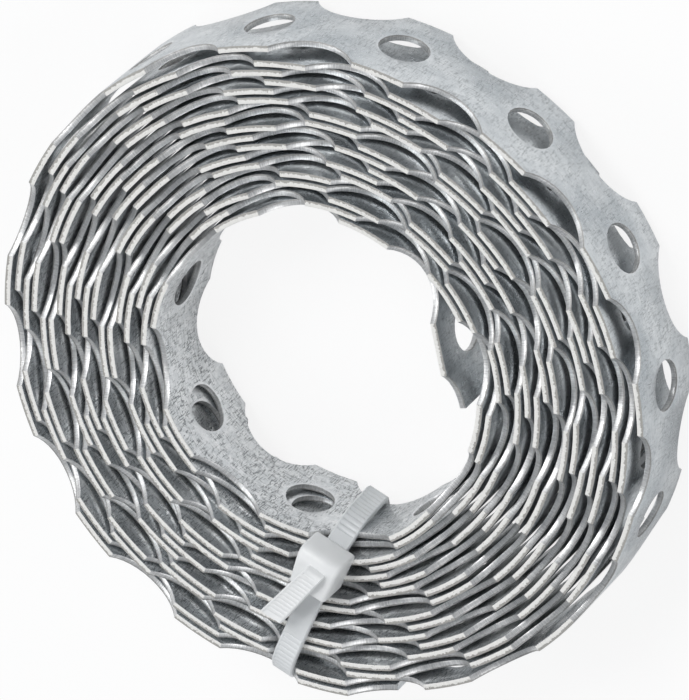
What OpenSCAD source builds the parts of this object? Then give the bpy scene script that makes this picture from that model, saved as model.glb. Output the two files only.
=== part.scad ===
// Perforated steel strap, wound into a loose coil and held by one nylon cable tie.
// The coil lies flat: its axis is +Z and the tie's lowest run is at z = 0.

/* [Strap] */
// Width of the strap over its tabs
strap_w = 12; // [12:0.5:16]
// Thickness of the strap
strap_t = 0.7; // [0.5:0.05:0.8]
// Spacing of the holes along the strap
pitch = 15; // [14.5:0.25:16]
// Number of holes; both ends are cut halfway between two holes
hole_count = 200; // [175:1:200]
// Diameter of the holes
hole_d = 5.2; // [4:0.1:6]
// Radius of the punch that cuts the waves into both edges
scallop_r = 5.75; // [5.5:0.05:7]
// Length of the straight tabs that are left between the waves on the upper edge
upper_tab = 5.75; // [5:0.05:6.5]
// Length of the straight tabs on the lower edge
lower_tab = 5; // [4.5:0.05:6.5]

/* [Coil] */
// Bending radius of the innermost quarter turn, at mid thickness
first_bend_r = 17.25; // [16:0.05:25]
// Growth of the bending radius as the strap passes the right side
step_right = 0.092; // [0.08:0.001:0.2]
// Growth of the bending radius as it passes the rear side
step_rear = 0.417; // [0.4:0.001:0.46]
// Growth of the bending radius as it passes the left side
step_left = 0.14; // [0.13:0.001:0.25]
// Growth of the bending radius as it passes the front side
step_front = 0.425; // [0.4:0.001:0.46]
// Length of the flattened run at the left of the first turn, which dies out towards the outside
first_flat = 2.5; // [1:0.1:3]
// Length that each flattened run loses to the next one
flat_loss = 0.08; // [0.05:0.005:0.1]
// Extra bending radius of the outermost turn, which stands off from the rest
outer_slack = 0.345; // [0:0.005:1]

/* [Inner end] */
// Bending radius where the inner end turns into the bore
tongue_bend_r = 10; // [8:0.1:12]
// Length of the straight run at the inner end
tongue_run = 11.2; // [10.2:0.1:12]

/* [Cable tie] */
// Width of the tie's band
tie_w = 2.5; // [2.4:0.1:3.6]
// Thickness of the tie's band
tie_t = 1; // [0.9:0.1:1.4]
// Direction from the coil's axis in which the band passes over the outermost turn, in degrees
tie_side = -58; // [-64:1:-54]
// Turn of the tie away from that direction
tie_skew = -14; // [-18:1:-6]
// Width of the tie's head
head_w = 4.7; // [4:0.1:6]
// Length of the head along the band
head_len = 4.6; // [4:0.1:5.5]
// Height of the head over the coil
head_h = 3.1; // [3:0.1:4.5]
// Distance of the head's middle from the outer run of the band
head_at = 16.4; // [14:0.1:16.8]
// Length of the cut tail, from the middle of the head
tail_len = 8.8; // [4:0.1:12]
// Slope at which the tail comes down from the head, in degrees
tail_drop = 12; // [0:1:14]
// Turn of the tail away from the band
tail_turn = -14; // [-15:1:15]

/* [Hidden] */
$fn = 96;

// ---- the strap's path, from its inner end outwards, anticlockwise seen from above

// Lengths and radii are kept to a micron, so that neighbouring bends end on the same face.
function micron(x) = round(x * 1000) / 1000;

side_x = [1, 0, -1, 0];
side_y = [0, 1, 0, -1];
side_step = [step_right, step_rear, step_left, step_front];
function side(q) = [side_x[q % 4], side_y[q % 4]];

// Slopes of the inner end: where it leaves the first turn, and where its straight run starts
leave_dir = [-0.28, 0.96];
tongue_dir = [0.6, 0.8];
function heading(d) = atan2(d[1], d[0]);

strap_len = hole_count * pitch;
bend_len = tongue_bend_r * (heading(leave_dir) - heading(tongue_dir)) * PI / 180;
// Length of strap before the point where the first quarter turn would begin
lead_len = tongue_run + bend_len - first_bend_r * (heading(leave_dir) - 90) * PI / 180;

// The middle of the innermost bends, which puts the middle of the coil's outline on the axis
coil_centre = [-0.608, 0.867];
tongue_centre = coil_centre + (first_bend_r - tongue_bend_r) * leave_dir;
tongue_root = tongue_centre + tongue_bend_r * tongue_dir;

// One quarter turn and the flattened run after it:
// [start along the strap, bending radius, centre, side where it starts, run]
function arc_len(b) = b[1] * PI / 2;
function bend_end(b) = b[0] + arc_len(b) + b[4];
function flat_run(n) = n % 2 == 0 ? max(0, micron(first_flat - n / 2 * flat_loss)) : 0;
// The last turn is wound a little looser, from where it passes the front side
function slack(q, turns_left) = q % 4 == 3 && turns_left > 0.5 && turns_left < 1.5 ? outer_slack : 0;
function next_bend(b, n) =
    let (q = b[3] + 1, left = (strap_len - bend_end(b)) / (2 * PI * b[1]))
    let (r = micron(b[1] + side_step[q % 4] + slack(q, left)))
    [bend_end(b), r, b[2] + b[4] * side(q + 1) + (b[1] - r) * side(q), q, flat_run(n)];
function bends(b, n) =
    bend_end(b) >= strap_len ? [b] : concat([b], bends(next_bend(b, n + 1), n + 1));

coil = bends([lead_len, first_bend_r, coil_centre, 1, flat_run(0)], 0);
last = len(coil) - 1;

// Puts its children at a length s along the strap, at its lower edge, with +X pointing outwards
module at_length(s) {
    if (s < tongue_run)
        translate(tongue_root + (tongue_run - s) * [tongue_dir[1], -tongue_dir[0]])
            rotate(heading(tongue_dir)) children();
    else if (s < tongue_run + bend_len)
        translate(tongue_centre)
            rotate(heading(tongue_dir) + (s - tongue_run) / tongue_bend_r * 180 / PI)
                translate([tongue_bend_r, 0]) children();
    else
        for (b = coil)
            if (s >= b[0] && (s < bend_end(b) || b == coil[last]))
                let (along = min(s - b[0], arc_len(b)))
                    translate(b[2]) rotate(90 * b[3] + along / b[1] * 180 / PI)
                        translate([b[1], s - b[0] - along]) children();
}

// ---- the punches

function chord_depth(chord) = scallop_r - sqrt(scallop_r * scallop_r - chord * chord / 4);
punch_len = 6;
// Lengths of strap from the middle of a punch that it can reach, with a little to spare on a bend
bend_spare = 0.3;
hole_reach = hole_d / 2 + bend_spare;
wave_reach = (pitch - min(upper_tab, lower_tab)) / 2 + bend_spare;

module punch(d, z) translate([0, 0, z]) rotate([0, 90, 0]) cylinder(d = d, h = punch_len, center = true);

module hole_punch() punch(hole_d, strap_w / 2);

module wave_punches() {
    punch(2 * scallop_r, strap_w - chord_depth(pitch - upper_tab) + scallop_r);
    punch(2 * scallop_r, chord_depth(pitch - lower_tab) - scallop_r);
}

function in_reach(s, from, to, reach) = s > from - reach && s < to + reach;

// Punches the strap that its children draw, which runs from one length to another
module punched(from, to) {
    difference() {
        union() children();
        for (i = [0 : hole_count]) {
            if (i < hole_count && in_reach((i + 0.5) * pitch, from, to, hole_reach))
                at_length((i + 0.5) * pitch) hole_punch();
            if (in_reach(i * pitch, from, to, wave_reach)) at_length(i * pitch) wave_punches();
        }
    }
}

// ---- the strap

module section() translate([-strap_t / 2, 0]) square([strap_t, strap_w]);

// Overlap of the pieces that meet at a slant, where faces that only touch might not fuse
joint_overlap = 0.001;

// The bent strap of one radius between two directions that are less than half a turn apart
module bend_between(r, from, to) {
    first = 2 * r * from + joint_overlap * [from[1], -from[0]];
    last = 2 * r * to + joint_overlap * [-to[1], to[0]];
    intersection() {
        rotate_extrude() translate([r, 0]) section();
        translate([0, 0, -strap_w / 2]) linear_extrude(2 * strap_w)
            polygon([[0, 0], first, 2 * r * (from + to), last]);
    }
}

module quarter_turn(b, angle) {
    translate(b[2]) rotate(90 * b[3]) {
        rotate_extrude(angle = angle) translate([b[1], 0]) section();
        if (b[4] > 0 && angle == 90)
            translate([-b[4], b[1] - strap_t / 2, 0]) cube([b[4], strap_t, strap_w]);
    }
}

module inner_end() {
    punched(0, bend_end(coil[0])) {
        translate(tongue_root) rotate(heading(tongue_dir)) translate([-strap_t / 2, -tongue_run, 0])
            cube([strap_t, tongue_run + joint_overlap, strap_w]);
        translate(tongue_centre) bend_between(tongue_bend_r, tongue_dir, leave_dir);
        translate(coil_centre) bend_between(first_bend_r, leave_dir, side(2));
        translate(coil_centre + [-first_bend_r - strap_t / 2, -flat_run(0), 0])
            cube([strap_t, flat_run(0), strap_w]);
    }
}

module strap() {
    color("lightsteelblue") translate([0, 0, tie_t]) {
        inner_end();
        for (i = [1 : last])
            let (b = coil[i], angle = min(90, (strap_len - b[0]) / b[1] * 180 / PI))
                punched(b[0], bend_end(b)) quarter_turn(b, angle);
    }
}

// ---- the cable tie

// Its outer run passes the outermost turn at one point, and its inner run crosses the bore's wall
function unit(a) = [cos(a), sin(a)];
tie_dir = tie_side + tie_skew;
// The bends at the front: the first of them, and the last that the strap is long enough to reach
function under_tie(b) = b[3] % 4 == 3 && b[0] + b[1] * (tie_side + 90) * PI / 180 < strap_len;
inner_turn = 2;
outer_turn = max([for (i = [inner_turn : last]) if (under_tie(coil[i])) i]);
outer_point = coil[outer_turn][2] + (coil[outer_turn][1] + strap_t / 2) * unit(tie_side);

// The straight line of the tie, seen from the middle of a bend: its distance, and its run to a radius
function line_start(b) = outer_point - b[2];
function line_off(b) = abs(cross(line_start(b), unit(tie_dir)));
function line_run(b, r) = line_start(b) * unit(tie_dir) - sqrt(r * r - line_off(b) * line_off(b));
function slant(b, r) = asin(line_off(b) / r);

bore_wall = coil[inner_turn];
bore_r = bore_wall[1] - strap_t / 2;
to_bore = line_run(bore_wall, bore_r);
// The flat band stands off where it crosses a wall at a slant, and just clears it there
outer_clearance = 0.05;
inner_clearance = 0.1;
outer_gap = tie_w / 2 * tan(abs(tie_skew)) + outer_clearance;
inner_gap = tie_w / 2 * tan(slant(bore_wall, bore_r)) + inner_clearance;
loop_len = outer_gap + to_bore + inner_gap;
roof = strap_w + tie_t;

// Depth that the waves leave free under the whole width of the band, where it crosses a turn
function crossing(b) =
    let (angle = heading(line_start(b) - line_run(b, b[1]) * unit(tie_dir)) - 90 * b[3])
    b[0] + b[1] * (angle - 360 * floor(angle / 360)) * PI / 180;
wave_half = (pitch - max(upper_tab, lower_tab)) / 2;
function wave_depth(b) =
    let (from_wave = abs(crossing(b) / pitch - round(crossing(b) / pitch)) * pitch,
         far = from_wave + tie_w / 2 / cos(slant(b, b[1])))
    far < wave_half ? chord_depth(2 * wave_half) - chord_depth(2 * far) : 0;
// Largest radius of a corner that clears an edge at a depth below it and a gap beside it
function corner_room(depth, gap) = depth + gap + sqrt(2 * depth * gap);
// Inner radius of the band's corners: they sink into the waves of the turns there, if these have any
band_bend = 2.4;
bend_in = micron(min(band_bend,
    corner_room(wave_depth(coil[outer_turn]), outer_clearance),
    corner_room(wave_depth(coil[outer_turn - 4]), outer_clearance + strap_t),
    corner_room(wave_depth(coil[inner_turn]), inner_clearance),
    corner_room(wave_depth(coil[inner_turn + 4]), inner_clearance + strap_t)));

module rounded(size, r) {
    translate([r, 0]) square([size[0] - 2 * r, size[1]]);
    translate([0, r]) square([size[0], size[1] - 2 * r]);
    for (x = [r, size[0] - r], y = [r, size[1] - r]) translate([x, y]) circle(r);
}

// Stands a side view up in the tie's plane: +X outwards, centred on the width of the piece
module side_view(width) rotate([90, 0, 0]) translate([0, 0, -width / 2]) linear_extrude(width) children();

module band_loop() side_view(tie_w) translate([-to_bore - inner_gap, 0])
    difference() {
        translate([-tie_t, 0]) rounded([loop_len + 2 * tie_t, strap_w + 2 * tie_t], bend_in + tie_t);
        translate([0, tie_t]) rounded([loop_len, strap_w], bend_in);
    }

head_chamfer = 0.5;
module chamfered(length) polygon([
    [-length / 2, 0], [length / 2, 0], [length / 2, head_h - head_chamfer],
    [length / 2 - head_chamfer, head_h], [head_chamfer - length / 2, head_h],
    [-length / 2, head_h - head_chamfer]]);

module head() translate([-head_at, 0, roof]) intersection() {
    side_view(head_w) chamfered(head_len);
    rotate(90) side_view(head_len) chamfered(head_w);
}

// The tail comes up through the head, folds over outwards and slopes down over the turns
tail_t = 0.9;
fold_r = 0.8;
fold_steps = 12;
function fold_arc(r, from, to) =
    [for (i = [0 : fold_steps]) r * unit(from + (to - from) * i / fold_steps)];

module tail() translate([-head_at, 0, roof + head_h]) rotate(tail_turn) side_view(tie_w)
    translate([fold_r, 0]) {
        outside = fold_r + tail_t / 2;
        inside = fold_r - tail_t / 2;
        slope_end = 90 - tail_drop;
        run = (tail_len - fold_r) * unit(-tail_drop);
        polygon(concat(
            [[-outside, -head_h / 2]], fold_arc(outside, 180, slope_end),
            [outside * unit(slope_end) + run, inside * unit(slope_end) + run],
            fold_arc(inside, slope_end, 180), [[-inside, -head_h / 2]]));
    }

module cable_tie() {
    color("whitesmoke") translate(outer_point) rotate(tie_dir) {
        band_loop();
        head();
        tail();
    }
}

strap();
cable_tie();
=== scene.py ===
"""A coil of galvanised perforated strap, held by one nylon cable tie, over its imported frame."""

from math import asin, atan2, cos, exp, pi, radians, sin, sqrt

import bmesh
import bpy
from mathutils import Matrix, Vector


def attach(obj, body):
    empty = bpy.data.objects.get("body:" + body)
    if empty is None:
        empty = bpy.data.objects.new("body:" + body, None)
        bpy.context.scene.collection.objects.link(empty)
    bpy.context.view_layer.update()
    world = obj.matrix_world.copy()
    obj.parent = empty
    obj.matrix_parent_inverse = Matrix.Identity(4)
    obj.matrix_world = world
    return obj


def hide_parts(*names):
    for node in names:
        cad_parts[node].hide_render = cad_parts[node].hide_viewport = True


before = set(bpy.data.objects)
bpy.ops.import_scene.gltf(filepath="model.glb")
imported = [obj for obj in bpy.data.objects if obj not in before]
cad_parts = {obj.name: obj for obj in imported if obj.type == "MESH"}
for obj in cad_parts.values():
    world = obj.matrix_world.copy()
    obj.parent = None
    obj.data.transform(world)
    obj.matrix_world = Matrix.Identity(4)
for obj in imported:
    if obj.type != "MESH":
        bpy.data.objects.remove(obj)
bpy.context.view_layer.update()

MM = 0.001

# ---------------------------------------------------------------- floor, lamps and camera
# The coil lies flat on a plain white table under three soft lamps. The camera looks down
# on its upper side from the rear, through a long lens.


class Socket:
    """One output of a shader node. Arithmetic on it adds the Math nodes that work it out."""

    def __init__(self, tree, output):
        self.tree = tree
        self.output = output

    def node(self, kind, settings=None, output=0, **inputs):
        """Adds a node: its settings first, then each input by name, as a value or a link."""
        made = self.tree.nodes.new(kind)
        for name, value in (settings or {}).items():
            if name == "stops":
                ramp = made.color_ramp.elements
                while len(ramp) < len(value):
                    ramp.new(0.5)
                for stop, (place, colour) in zip(ramp, value):
                    stop.position = place
                    stop.color = (*colour, 1)
            else:
                setattr(made, name, value)
        for name, value in inputs.items():
            key = name.replace("_", " ")
            index = int(key[5:]) if key.startswith("input") else key
            if isinstance(value, Socket):
                self.tree.links.new(value.output, made.inputs[index])
            else:
                made.inputs[index].default_value = value
        return Socket(self.tree, made.outputs[output])

    def math(self, operation, *others):
        inputs = {f"input{i}": value for i, value in enumerate((self, *others))}
        return self.node("ShaderNodeMath", {"operation": operation}, **inputs)

    def __add__(self, other):
        return self.math("ADD", other)

    def __radd__(self, other):
        return self.math("ADD", other)

    def __sub__(self, other):
        return self.math("SUBTRACT", other)

    def __rsub__(self, other):
        return self.node("ShaderNodeMath", {"operation": "SUBTRACT"}, input0=other, input1=self)

    def __mul__(self, other):
        return self.math("MULTIPLY", other)

    def __rmul__(self, other):
        return self.math("MULTIPLY", other)

    def __truediv__(self, other):
        return self.math("DIVIDE", other)

    def between(self, low, high):
        """0 below low, 1 above high, and smooth in between."""
        return self.node("ShaderNodeMapRange", {"interpolation_type": "SMOOTHSTEP"},
                         Value=self, From_Min=low, From_Max=high)


def new_material(name):
    """An empty material, with the Socket that its nodes start from."""
    material = bpy.data.materials.new(name)
    material.use_nodes = True
    material.node_tree.nodes.clear()
    return material, Socket(material.node_tree, None)


def mix_colours(start, share, first, second):
    return start.node("ShaderNodeMix", {"data_type": "RGBA"}, output=2,
                      input0=share, input6=first, input7=second)


def surface(start, shader):
    made = start.tree.nodes.new("ShaderNodeOutputMaterial")
    start.tree.links.new(shader.output, made.inputs["Surface"])


def on_show(name, data):
    """Puts a mesh, a lamp or the camera into the scene, at the origin."""
    made = bpy.data.objects.new(name, data)
    bpy.context.scene.collection.objects.link(made)
    return made


table_w = 6.0
table_mesh = bmesh.new()
bmesh.ops.create_grid(table_mesh, x_segments=1, y_segments=1, size=table_w / 2)
table_data = bpy.data.meshes.new("table")
table_mesh.to_mesh(table_data)
table_mesh.free()
table = on_show("table", table_data)

# The paint takes light and shadow like any other, but part of it is plain white to the camera,
# and a smaller part to the metal that mirrors it.
glow_seen = 0.87
glow_mirrored = 0.35
table_paint, start = new_material("white_table")
white = start.node("ShaderNodeBsdfPrincipled", Base_Color=(0.9, 0.9, 0.9, 1), Roughness=0.7,
                   Specular_IOR_Level=0.2)
glow = start.node("ShaderNodeEmission", Color=(1, 1, 1, 1), Strength=1.0)
seen = start.node("ShaderNodeLightPath", output=0)
mirrored = start.node("ShaderNodeLightPath", output=3)
glowing = (seen * glow_seen).math("MAXIMUM", mirrored * glow_mirrored)
surface(start, start.node("ShaderNodeMixShader", input0=glowing, input1=white, input2=glow))
table_data.materials.append(table_paint)

world = bpy.data.worlds.new("studio")
world.use_nodes = True
world.node_tree.nodes.clear()
start = Socket(world.node_tree, None)
seen = start.node("ShaderNodeLightPath", output=0)
ambient = start.node("ShaderNodeBackground", Color=(0.93, 0.96, 1.0, 1), Strength=0.34)
backdrop = start.node("ShaderNodeBackground", Color=(1, 1, 1, 1), Strength=1.0)
lit = start.node("ShaderNodeMixShader", input0=seen, input1=ambient, input2=backdrop)
world_out = world.node_tree.nodes.new("ShaderNodeOutputWorld")
world.node_tree.links.new(lit.output, world_out.inputs["Surface"])
bpy.context.scene.world = world


lamp_distance = 0.6
lamp_w = 0.3


def lamp(name, azimuth, height, watts):
    """A square softbox that faces the coil, from a direction given in degrees."""
    place = Vector((cos(radians(azimuth)), sin(radians(azimuth)), 0)) * cos(radians(height))
    place = lamp_distance * (place + Vector((0, 0, sin(radians(height)))))
    data = bpy.data.lights.new(name, "AREA")
    data.shape = "SQUARE"
    data.size = lamp_w
    data.energy = watts
    made = on_show(name, data)
    made.location = place
    made.rotation_euler = (-place).to_track_quat("-Z", "Y").to_euler()


lamp("left_lamp", azimuth=225, height=38, watts=0.8)
lamp("right_lamp", azimuth=5, height=40, watts=0.9)
lamp("rear_lamp", azimuth=152, height=48, watts=1.9)

# The camera's own axes: right, up and back, in the frame. It leans from the coil's axis towards
# the rear, is rolled so that the coil's +X points down to the right, and aims a little beside the
# middle of the coil's upper side.
lean = radians(37.4)
roll_x, roll_y = 0.678, 0.735
view_right = Vector((roll_x, roll_y * cos(lean), -roll_y * sin(lean)))
view_up = Vector((-roll_y, roll_x * cos(lean), -roll_x * sin(lean)))
view_back = Vector((0, sin(lean), cos(lean)))
camera_distance = 0.6785
lens_for_width = 345.5
upper_middle = Vector((0.004, 1.261, 13)) * MM
aim_right = 2.13 * MM
aim_up = 2.0 * MM
aim = upper_middle + aim_right * view_right + aim_up * view_up
camera_data = bpy.data.cameras.new("camera")
camera_data.sensor_width = 36
camera_data.lens = lens_for_width
camera = on_show("camera", camera_data)
axes = Matrix((view_right, view_up, view_back)).transposed().to_4x4()
camera.matrix_world = Matrix.Translation(aim + camera_distance * view_back) @ axes
bpy.context.scene.camera = camera
bpy.context.scene.view_settings.view_transform = "Standard"

# ---------------------------------------------------------------- strap
# One strip of galvanised steel sheet, slit to width, then punched: a row of round holes, and
# a wave out of each edge between them. It is wound loosely, from the inside out.

# Sizes in millimetres. A tab is what is left of an edge between two waves. Each half pitch is cut
# into slices, so that it can follow the coil. Points that lie this near to a line are on it.
strap_w = 12
strap_t = 0.7
strap_foot = 1
pitch = 15
hole_count = 200
strap_len = hole_count * pitch
hole_r = 2.6
hole_steps = 12
wave_r = 5.75
upper_tab = 5.75
lower_tab = 5
upper_wave_steps = 6
lower_wave_steps = 7
edge_r = 0.09
slices = 6
near = 1e-4


def arc(x, y, radius, first, last, steps):
    """Points along an arc, from one angle to another, in radians."""
    angles = [first + (last - first) * i / steps for i in range(steps + 1)]
    return [(x + radius * cos(a), y + radius * sin(a)) for a in angles]


def half_pitch_outline():
    """The strap from the middle of a hole to the middle of a wave: (length, width)."""
    half = pitch / 2
    upper_reach = sqrt(wave_r ** 2 - (half - upper_tab / 2) ** 2)
    lower_reach = sqrt(wave_r ** 2 - (half - lower_tab / 2) ** 2)
    upper_start = atan2(-upper_reach, upper_tab / 2 - half)
    lower_end = atan2(lower_reach, lower_tab / 2 - half)
    return ([(0, strap_w)]
            + arc(half, strap_w + upper_reach, wave_r, upper_start, -pi / 2, upper_wave_steps)
            + arc(half, -lower_reach, wave_r, pi / 2, lower_end, lower_wave_steps)
            + [(0, 0)]
            + arc(0, strap_w / 2, hole_r, -pi / 2, pi / 2, hole_steps))


def whole(bm):
    return bm.verts[:] + bm.edges[:] + bm.faces[:]


def shift_made(bm, made, vec):
    """Moves the vertices that an operator has just made."""
    points = [v for v in made["geom"] if isinstance(v, bmesh.types.BMVert)]
    bmesh.ops.translate(bm, vec=vec, verts=points)


def flat_pitch():
    """One pitch of flat strap, open at both ends: X along it, Y inwards through it, Z across it."""
    bm = bmesh.new()
    corners = [bm.verts.new((x, -strap_t / 2, z)) for x, z in half_pitch_outline()]
    blank = bm.faces.new(corners)
    shift_made(bm, bmesh.ops.extrude_face_region(bm, geom=[blank]), (0, strap_t, 0))
    bmesh.ops.recalc_face_normals(bm, faces=bm.faces)

    def at_cut(face):
        return (all(v.co.x < near for v in face.verts)
                or all(v.co.x > pitch / 2 - near for v in face.verts))

    bmesh.ops.delete(bm, geom=[f for f in bm.faces if at_cut(f)], context="FACES")
    rim = [e for e in bm.edges
           if not e.is_boundary and abs(e.verts[0].co.y - e.verts[1].co.y) < near]
    bmesh.ops.bevel(bm, geom=rim, offset=edge_r, segments=2, profile=0.5, affect="EDGES",
                    material=-1)
    for i in range(1, slices):
        bmesh.ops.bisect_plane(bm, geom=whole(bm), dist=1e-5,
                               plane_co=(pitch / 2 * i / slices, 0, 0), plane_no=(1, 0, 0))
    bmesh.ops.mirror(bm, geom=whole(bm), axis="X", merge_dist=near)
    bmesh.ops.recalc_face_normals(bm, faces=bm.faces)
    for face in bm.faces:
        on_face = abs(face.normal.y) > 0.9
        on_slit = all(min(v.co.z, strap_w - v.co.z) < edge_r + near for v in face.verts)
        face.material_index = 0 if on_face else 1 if on_slit else 2
    bmesh.ops.translate(bm, vec=(pitch / 2, 0, 0), verts=bm.verts)
    return bm


# The path that the strap is wound along, from its inner end: a straight tongue across the bore, a
# bend into the first turn, then one quarter turn after another. Every other quarter has a straight
# run after it, which gets shorter turn by turn. A quarter is wider than the one before it by the
# step of the side where it starts, and the outermost turn has some slack.
tongue_run = 11.2
tongue_bend_r = 10
first_bend_r = 17.25
step = (0.092, 0.417, 0.14, 0.425)
first_flat = 2.5
flat_loss = 0.08
outer_slack = 0.345
coil_centre = Vector((-0.608, 0.867))
leave_dir = Vector((-0.28, 0.96))
tongue_dir = Vector((0.6, 0.8))
sides = (Vector((1, 0)), Vector((0, 1)), Vector((-1, 0)), Vector((0, -1)))


def heading(direction):
    return atan2(direction.y, direction.x)


bend_len = tongue_bend_r * (heading(leave_dir) - heading(tongue_dir))
lead_len = tongue_run + bend_len - first_bend_r * (heading(leave_dir) - pi / 2)
tongue_centre = coil_centre + (first_bend_r - tongue_bend_r) * leave_dir
tongue_root = tongue_centre + tongue_bend_r * tongue_dir


def wind_coil():
    """Every quarter turn: (start along the strap, radius, centre, side, straight run after it)."""
    start, radius, centre, side, turns = lead_len, first_bend_r, coil_centre, 1, []
    while start < strap_len:
        flat = max(0, first_flat - len(turns) / 2 * flat_loss) if len(turns) % 2 == 0 else 0
        turns.append((start, radius, centre, side, flat))
        start += radius * pi / 2 + flat
        side += 1
        turns_left = (strap_len - start) / (2 * pi * radius)
        wider = radius + step[side % 4]
        if side % 4 == 3 and 0.5 < turns_left < 1.5:
            wider += outer_slack
        centre = centre + flat * sides[(side + 1) % 4] + (radius - wider) * sides[side % 4]
        radius = wider
    return turns


coil = wind_coil()


def at_length(s):
    """The middle of the strap's thickness at a length along it, and the angle of its outer side."""
    if s < tongue_run:
        along = Vector((tongue_dir.y, -tongue_dir.x))
        return tongue_root + (tongue_run - s) * along, heading(tongue_dir)
    if s < tongue_run + bend_len:
        angle = heading(tongue_dir) + (s - tongue_run) / tongue_bend_r
        return tongue_centre + tongue_bend_r * Vector((cos(angle), sin(angle))), angle
    start, radius, centre, side, _ = next(b for b in reversed(coil) if b[0] <= s or b is coil[0])
    along = min(s - start, radius * pi / 2)
    angle = side * pi / 2 + along / radius
    out = Vector((cos(angle), sin(angle)))
    past = (s - start - along) * Vector((-out.y, out.x))
    return centre + radius * out + past, angle


# The tie's outer run stands at this point, and its loop runs inwards from there. Drawn tight, it
# pulls the inner turns outwards, in a bulge whose middle is a little past the crossing. The bulge
# is steeper on the near side, and dies out over the turns further out.
tie_point = Vector((19.832, -30.688))
tie_angle = radians(-72)
tie_side = Vector((-sin(tie_angle), cos(tie_angle)))
bore_r = 17.6
pull = 1.15
pull_middle = 3.0
pull_ahead = 8.5
pull_behind = 4.8
pulled_depth = 9.0


def pulled(middle):
    """How far outwards the tie pulls a point of the strap."""
    spoke = middle - coil_centre
    depth = spoke.length - bore_r
    if depth > pulled_depth:
        return 0
    crossing = tie_angle + asin(min(1, (tie_point - coil_centre) @ tie_side / spoke.length))
    beside = spoke.length * (heading(spoke) - crossing) - pull_middle
    width = pull_ahead if beside > 0 else pull_behind
    return pull * exp(-(beside / width) ** 2) * min(1, 1 - depth / pulled_depth)


def bend(flat):
    """Where a point of the flat strap lies in the coil, and the angle of its outer side there."""
    middle, angle = at_length(flat.x)
    place = middle + (pulled(middle) - flat.y) * Vector((cos(angle), sin(angle)))
    return Vector((place.x, place.y, flat.z + strap_foot)) * MM, angle


# The flat strap is one pitch repeated, closed at both ends. Its own coordinates are stored on it
# before it is wound up, and its shading normals are turned with it.
bm = flat_pitch()
one_pitch = whole(bm)
for i in range(1, hole_count):
    shift_made(bm, bmesh.ops.duplicate(bm, geom=one_pitch), (i * pitch, 0, 0))
seams = [v for v in bm.verts if abs(v.co.x / pitch - round(v.co.x / pitch)) < 1e-5]
bmesh.ops.remove_doubles(bm, verts=seams, dist=1e-3)
bmesh.ops.edgeloop_fill(bm, edges=[e for e in bm.edges if e.is_boundary])
bmesh.ops.recalc_face_normals(bm, faces=bm.faces)
strap_mesh = bpy.data.meshes.new("coiled_strap")
bm.to_mesh(strap_mesh)
bm.free()
strap_mesh.shade_smooth()
strap_mesh.set_sharp_from_angle(angle=radians(25))
unrolled = strap_mesh.attributes.new("unrolled", "FLOAT_VECTOR", "POINT")
flat_normals = [corner.vector.copy() for corner in strap_mesh.corner_normals]
places = [bend(v.co) for v in strap_mesh.vertices]
for vertex, (place, angle), stored in zip(strap_mesh.vertices, places, unrolled.data):
    stored.vector = vertex.co
    vertex.co = place
bent_normals = []
for loop, normal in zip(strap_mesh.loops, flat_normals):
    angle = places[loop.vertex_index][1]
    bent_normals.append((-normal.y * cos(angle) - normal.x * sin(angle),
                         -normal.y * sin(angle) + normal.x * cos(angle), normal.z))
strap_mesh.normals_split_custom_set(bent_normals)
strap_piece = on_show("coiled_strap", strap_mesh)


def on_strap(start):
    """The strap's own coordinates: along it, inwards through it and across it."""
    return start.node("ShaderNodeAttribute", {"attribute_name": "unrolled"}, output=1)


def part_of(place, axis):
    return place.node("ShaderNodeSeparateXYZ", output=axis, Vector=place)


def scaled(start, along, through, across, turn=0.0):
    """The strap's own coordinates, scaled to a number of features per millimetre."""
    return start.node("ShaderNodeMapping", Vector=on_strap(start), Scale=(along, through, across),
                      Rotation=(0, turn, 0))


def noise(vector, detail=2.0, roughness=0.5):
    return vector.node("ShaderNodeTexNoise", output=0, Vector=vector, Scale=1.0, Detail=detail,
                       Roughness=roughness)


def bumped(start, height, depth):
    """Relief whose height runs from 0 to 1 over a depth in millimetres."""
    return start.node("ShaderNodeBump", Height=height, Distance=depth * MM, Strength=1.0)


# The broad faces: zinc in soft clouds and a fine mottle, with a net of short dark scratches and a
# lip that the punch has rolled in round each hole. The inner side of every turn, the bore wall
# among
# them, is tinted brighter: that is painted light.
zinc_dull = (0.48, 0.515, 0.54, 1)
zinc_bright = (0.76, 0.785, 0.80, 1)
# Painted light: the near-white tint that the inner side of every turn is mixed towards.
inner_painted_light = (0.97, 0.975, 0.98, 1)
zinc_mottle = (0.46, 0.495, 0.515, 1)
zinc_grain = (0.88, 0.89, 0.90, 1)
scratch_tint = (0.13, 0.145, 0.155, 1)
scratch_turn = 0.12
lip_start = 0.05
lip_end = 0.45
face_paint, start = new_material("galvanised_face")
place = on_strap(start)
along = part_of(place, 0)
across = part_of(place, 2) - strap_w / 2
from_hole = (along / pitch).math("FRACT") * pitch - pitch / 2
hole_distance = (from_hole * from_hole + across * across).math("SQRT")
rim = 1 - hole_distance.between(hole_r + lip_start, hole_r + lip_end)
clouds = noise(scaled(start, 0.13, 1, 0.2), detail=3)
mottle = noise(scaled(start, 1.3, 1, 1.3), detail=4, roughness=0.6)
grain = noise(scaled(start, 9, 1, 7), detail=2)
strokes = noise(scaled(start, 8, 1, 1.4, scratch_turn), detail=3, roughness=0.6)
strokes = strokes.between(0.54, 0.60)
cross_strokes = noise(scaled(start, 1.2, 1, 9, scratch_turn), detail=3, roughness=0.6)
cross_strokes = cross_strokes.between(0.54, 0.60)
patches = noise(scaled(start, 0.3, 1, 0.4), detail=4, roughness=0.6).between(0.26, 0.54)
# Which side is the inner one: it sets the painted light below, and how dense the scratches are.
inner_face = part_of(place, 1).between(-0.1, 0.1)
flecks = (strokes + cross_strokes * 0.7) * patches * (inner_face * 0.45 + 0.4) * (1 - rim)
tint = mix_colours(start, clouds.between(0.3, 0.7), zinc_dull, zinc_bright)
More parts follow.
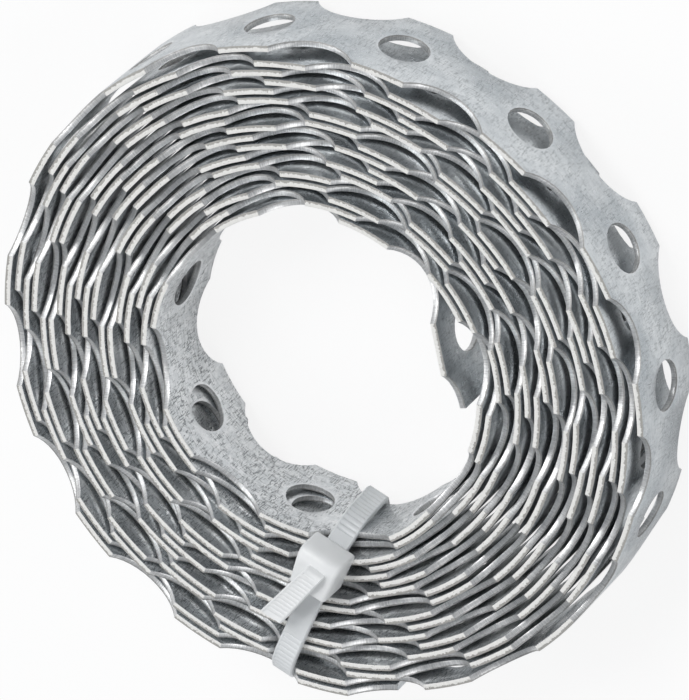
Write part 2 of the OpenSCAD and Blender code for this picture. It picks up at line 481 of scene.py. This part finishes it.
# Painted light: the inner side is mixed towards near white, standing in for light falling on it.
tint = mix_colours(start, inner_face * 0.65, tint, inner_painted_light)
tint = mix_colours(start, mottle.between(0.3, 0.75) * 0.45, tint, zinc_mottle)
tint = mix_colours(start, grain.between(0.45, 0.8) * 0.35, tint, zinc_grain)
tint = mix_colours(start, flecks.math("MINIMUM", 1.0) * 0.8, tint, scratch_tint)
rough = mottle * 0.14 + clouds * 0.1 + flecks * 0.2 + 0.17
relief = mottle * 0.4 + grain * 0.25 - flecks * 0.6 - rim * 1.2
surface(start, start.node("ShaderNodeBsdfPrincipled", Base_Color=tint, Metallic=0.95,
                          Roughness=rough, Normal=bumped(start, relief, depth=0.015)))

# The slit edges, on the tabs: dull zinc smeared along them, nicks, and the ragged dark strip that
# was left where the sheet broke away.
slit_tint = (0.83, 0.82, 0.79, 1)
smear_tint = (0.69, 0.69, 0.67, 1)
break_tint = (0.31, 0.30, 0.28, 1)
nick_tint = (0.18, 0.175, 0.165, 1)
slit_paint, start = new_material("slit_edge")
through = part_of(on_strap(start), 1)
ragged = noise(scaled(start, 2.8, 0.5, 0.2), detail=5, roughness=0.75)
fracture = 1 - (through + ragged * 0.9).between(0.33, 0.38)
smear = noise(scaled(start, 5, 1.5, 1), detail=3)
pits = noise(scaled(start, 14, 14, 4), detail=2)
nicks = noise(scaled(start, 4, 4, 3), detail=3, roughness=0.7).between(0.62, 0.70)
tint = mix_colours(start, smear.between(0.35, 0.75) * 0.5, slit_tint, smear_tint)
tint = mix_colours(start, fracture * 0.85, tint, break_tint)
tint = mix_colours(start, nicks * 0.8, tint, nick_tint)
relief = pits * (0.2 + fracture * 0.8) - fracture - nicks * 0.5
surface(start, start.node("ShaderNodeBsdfPrincipled", Base_Color=tint, Metallic=0.0,
                          Roughness=fracture * 0.2 + 0.5,
                          Normal=bumped(start, relief, depth=0.03)))

# The walls of the holes and waves: drag marks of the punch through half of the thickness, and
# torn metal through the rest.
wall_dull = (0.56, 0.565, 0.57, 1)
wall_bright = (0.86, 0.86, 0.85, 1)
torn_tint = (0.30, 0.295, 0.285, 1)
punched_paint, start = new_material("punched_wall")
through = part_of(on_strap(start), 1)
drag = noise(scaled(start, 9, 0.5, 9), detail=3, roughness=0.65)
torn = noise(scaled(start, 3, 1, 3), detail=3)
fracture = 1 - (through + torn * 0.3).between(-0.06, 0.02)
tint = mix_colours(start, drag.between(0.3, 0.7), wall_dull, wall_bright)
tint = mix_colours(start, fracture * 0.7, tint, torn_tint)
rough = fracture * 0.2 + 0.4
relief = drag - fracture * 0.6
surface(start, start.node("ShaderNodeBsdfPrincipled", Base_Color=tint, Metallic=0.75,
                          Roughness=rough, Normal=bumped(start, relief, depth=0.012)))

for paint in (face_paint, slit_paint, punched_paint):
    strap_mesh.materials.append(paint)

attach(strap_piece, "root")
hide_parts("strap")

# ---------------------------------------------------------------- cable tie
# One moulded piece of natural nylon: a toothed band, its head and the tail that was cut short.
# The band runs round the bundle, comes up through the head and is folded down outwards.

# The band's section: its long edges are rounded, and its teeth stand in a trough between two
# rails. A tooth is drawn as (share of its pitch, share of its depth).
tie_w = 2.5
tie_t = 0.85
band_edge = 0.14
rail_w = 0.22
trough_start = 0.32
tooth_pitch = 0.62
tooth_depth = 0.13
tooth_shape = ((0, 0.3), (0.2, 0), (0.45, 0), (0.7, 0.5), (0.85, 1))
bend_step = radians(4)


def line(*corners):
    """A path through corners, each given as (x, z, radius), in the plane of the tie's loop."""
    points = [Vector(corners[0][:2])]
    for before, (x, z, radius), after in zip(corners, corners[1:], corners[2:]):
        corner = Vector((x, z))
        come = (corner - Vector(before[:2])).normalized()
        go = (Vector(after[:2]) - corner).normalized()
        turn = come.angle_signed(go)
        if radius == 0 or abs(turn) < 1e-3:
            points.append(corner)
            continue
        start = corner - come * radius * abs(sin(turn / 2) / cos(turn / 2))
        steps = max(2, int(abs(turn) / bend_step))
        rise = Vector((come.y, -come.x)) if turn > 0 else Vector((-come.y, come.x))
        middle = start + radius * rise
        for i in range(steps + 1):
            points.append(middle - radius * (Matrix.Rotation(-turn * i / steps, 2) @ rise))
    points.append(Vector(corners[-1][:2]))
    return points


def sweep(bm, path, toothed, widths=(tie_w, tie_w)):
    """Draws the band along a path, and cuts teeth where toothed says so for a length along it."""
    lengths = [0]
    for a, b in zip(path, path[1:]):
        lengths.append(lengths[-1] + (b - a).length)
    stations = []
    for i in range(int(lengths[-1] / tooth_pitch)):
        start = i * tooth_pitch
        cut = tooth_depth if toothed(start) else 0
        stations += [(start + share * tooth_pitch, depth * cut) for share, depth in tooth_shape]
    stations.append((lengths[-1], 0))
    rings = []
    for length, cut in stations:
        i = next(i for i in range(1, len(lengths)) if lengths[i] >= length - 1e-6)
        share = (length - lengths[i - 1]) / (lengths[i] - lengths[i - 1])
        at = path[i - 1].lerp(path[i], share)
        ahead = (path[min(i + 1, len(path) - 1)] - path[i - 1]).normalized()
        behind = (path[i] - path[max(i - 2, 0)]).normalized()
        along = behind.lerp(ahead, share).normalized()
        out = Vector((-along.y, along.x))
        half = (widths[0] + (widths[1] - widths[0]) * length / lengths[-1]) / 2
        top, side = tie_t / 2, tie_t / 2 - band_edge
        section = [(-half, side), (-half + band_edge, top), (-half + rail_w, top),
                   (-half + trough_start, top - cut), (half - trough_start, top - cut),
                   (half - rail_w, top), (half - band_edge, top), (half, side), (half, -side),
                   (half - band_edge, -top), (-half + band_edge, -top), (-half, -side)]
        rings.append([bm.verts.new((at.x + h * out.x, y, at.y + h * out.y)) for y, h in section])
    for ring, following in zip(rings, rings[1:]):
        for k in range(len(ring)):
            j = (k + 1) % len(ring)
            bm.faces.new((ring[k], ring[j], following[j], following[k]))
    bm.faces.new(rings[0])
    bm.faces.new(rings[-1])


# The loop stands in the tie's own axes: X outwards from the tie's point, Z up. Its corners run
# from inside the head down the bore, under the bundle, up its outer side and back over the turns.
# The band is plain near both its ends.
head_x = -16.3
head_foot = 12.4
slot_back = 0.4
slot = head_x - slot_back
high = strap_foot + strap_w + tie_t / 2
low = strap_foot - tie_t / 2
outer_x = 0.36 + tie_t / 2
bore_x = -20.35
loop = line((slot - 0.2, head_foot + 2.2, 0),
            (slot - 1.0, 13.1, 1.2),
            (bore_x, 9.6, 3.5),
            (bore_x, 4.0, 1.8),
            (bore_x + 3.6, low, 3),
            (outer_x, low, 3.4),
            (outer_x, high, 5.2),
            (head_x + 1.5, high - 0.1, 0))
loop_len = sum((b - a).length for a, b in zip(loop, loop[1:]))
plain_start = 8.0
plain_end = 4.5
bm = bmesh.new()
sweep(bm, loop[::-1], lambda length: plain_start < length < loop_len - plain_end)

# The band was drawn slanting: its outer run stands to one side, and its lowest run near the bore
# to the other.
outer_lean = 0.36
bore_lean = 0.54
for v in bm.verts:
    across, up = (v.co.x - bore_x) / (outer_x - bore_x), (v.co.z - low) / (high - low)
    v.co.y += outer_lean * across - bore_lean * (1 - across) * (1 - up)
band_points = len(bm.verts)

# The tail comes up out of the head, is folded outwards, and slants to one side.
fold_height = 4.3
tail_reach = 8.4
tail_end_height = 2.8
tail_widths = (2.1, 2.55)
tail_slant = 0.28
tail_plain = 1.8
fold = line((slot, head_foot + 2, 0),
            (slot, head_foot + fold_height, 0.6),
            (slot + tail_reach, head_foot + tail_end_height, 0))
tail = bmesh.new()
sweep(tail, fold, lambda length: tail_plain < length, tail_widths)
for v in tail.verts:
    v.co.y -= tail_slant * (v.co.x - slot)

# The head is a block, narrower outwards, with a rounded brow over the bore, and lies a little
# askew on the turns.
head_size = (5.0, 4.9, 3.7)
head_widest = 1.02
head_taper = 0.12
brow_r = 1.3
head_edge_r = 0.4
head_turn, head_tip, head_roll = radians(2.6), radians(3.9), radians(2.9)
head = bmesh.new()
bmesh.ops.create_cube(head, size=1)
for v in head.verts:
    x, y, z = v.co
    narrowed = head_widest - head_taper * (x + 0.5)
    v.co = (x * head_size[0], y * head_size[1] * narrowed, (z + 0.5) * head_size[2])
brow = [e for e in head.edges if all(v.co.x < 0 and v.co.z > 1 for v in e.verts)]
bmesh.ops.bevel(head, geom=brow, offset=brow_r, segments=6, profile=0.5, affect="EDGES",
                material=-1)
crisp = [e for e in head.edges if e.calc_face_angle() > radians(40)]
bmesh.ops.bevel(head, geom=crisp, offset=head_edge_r, segments=3, profile=0.5, affect="EDGES",
                material=-1)
head.transform(Matrix.Translation((head_x, 0, head_foot))
               @ Matrix.Rotation(head_turn, 4, "Z")
               @ Matrix.Rotation(head_tip, 4, "Y")
               @ Matrix.Rotation(head_roll, 4, "X"))

for part in (tail, head):
    part_mesh = bpy.data.meshes.new("part")
    part.to_mesh(part_mesh)
    part.free()
    bm.from_mesh(part_mesh)
    bpy.data.meshes.remove(part_mesh)
bmesh.ops.recalc_face_normals(bm, faces=bm.faces)
bm.transform(Matrix.Translation((tie_point.x * MM, tie_point.y * MM, 0))
             @ Matrix.Rotation(tie_angle, 4, "Z") @ Matrix.Scale(MM, 4))
tie_mesh = bpy.data.meshes.new("nylon_tie")
bm.to_mesh(tie_mesh)
bm.free()
moulded = tie_mesh.attributes.new("moulded", "FLOAT", "POINT")
for i, stored in enumerate(moulded.data):
    stored.value = i >= band_points
tie_mesh.shade_smooth()
tie_mesh.set_sharp_from_angle(angle=radians(35))
tie_piece = on_show("nylon_tie", tie_mesh)

# Natural nylon: greyer in the thin band, as if the steel behind it showed through, whiter in the
# head and tail, with a faint haze and the very fine grain of the mould.
band_tint = (0.68, 0.70, 0.71, 1)
moulded_tint = (0.82, 0.83, 0.83, 1)
haze_tint = (0.76, 0.775, 0.78, 1)
haze_per_m = 700
grain_per_m = 3500
nylon_paint, start = new_material("natural_nylon")
place = start.node("ShaderNodeTexCoord", output=3)
haze = noise(start.node("ShaderNodeMapping", Vector=place, Scale=(haze_per_m,) * 3), detail=3)
speck = noise(start.node("ShaderNodeMapping", Vector=place, Scale=(grain_per_m,) * 3), detail=2)
thick = start.node("ShaderNodeAttribute", {"attribute_name": "moulded"}, output=2)
tint = mix_colours(start, thick, band_tint, moulded_tint)
tint = mix_colours(start, haze.between(0.35, 0.65) * 0.35, tint, haze_tint)
surface(start, start.node("ShaderNodeBsdfPrincipled", Base_Color=tint,
                          Roughness=haze * 0.15 + 0.32,
                          Normal=bumped(start, speck, depth=0.015)))
tie_mesh.materials.append(nylon_paint)

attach(tie_piece, "root")
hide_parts("cable_tie")
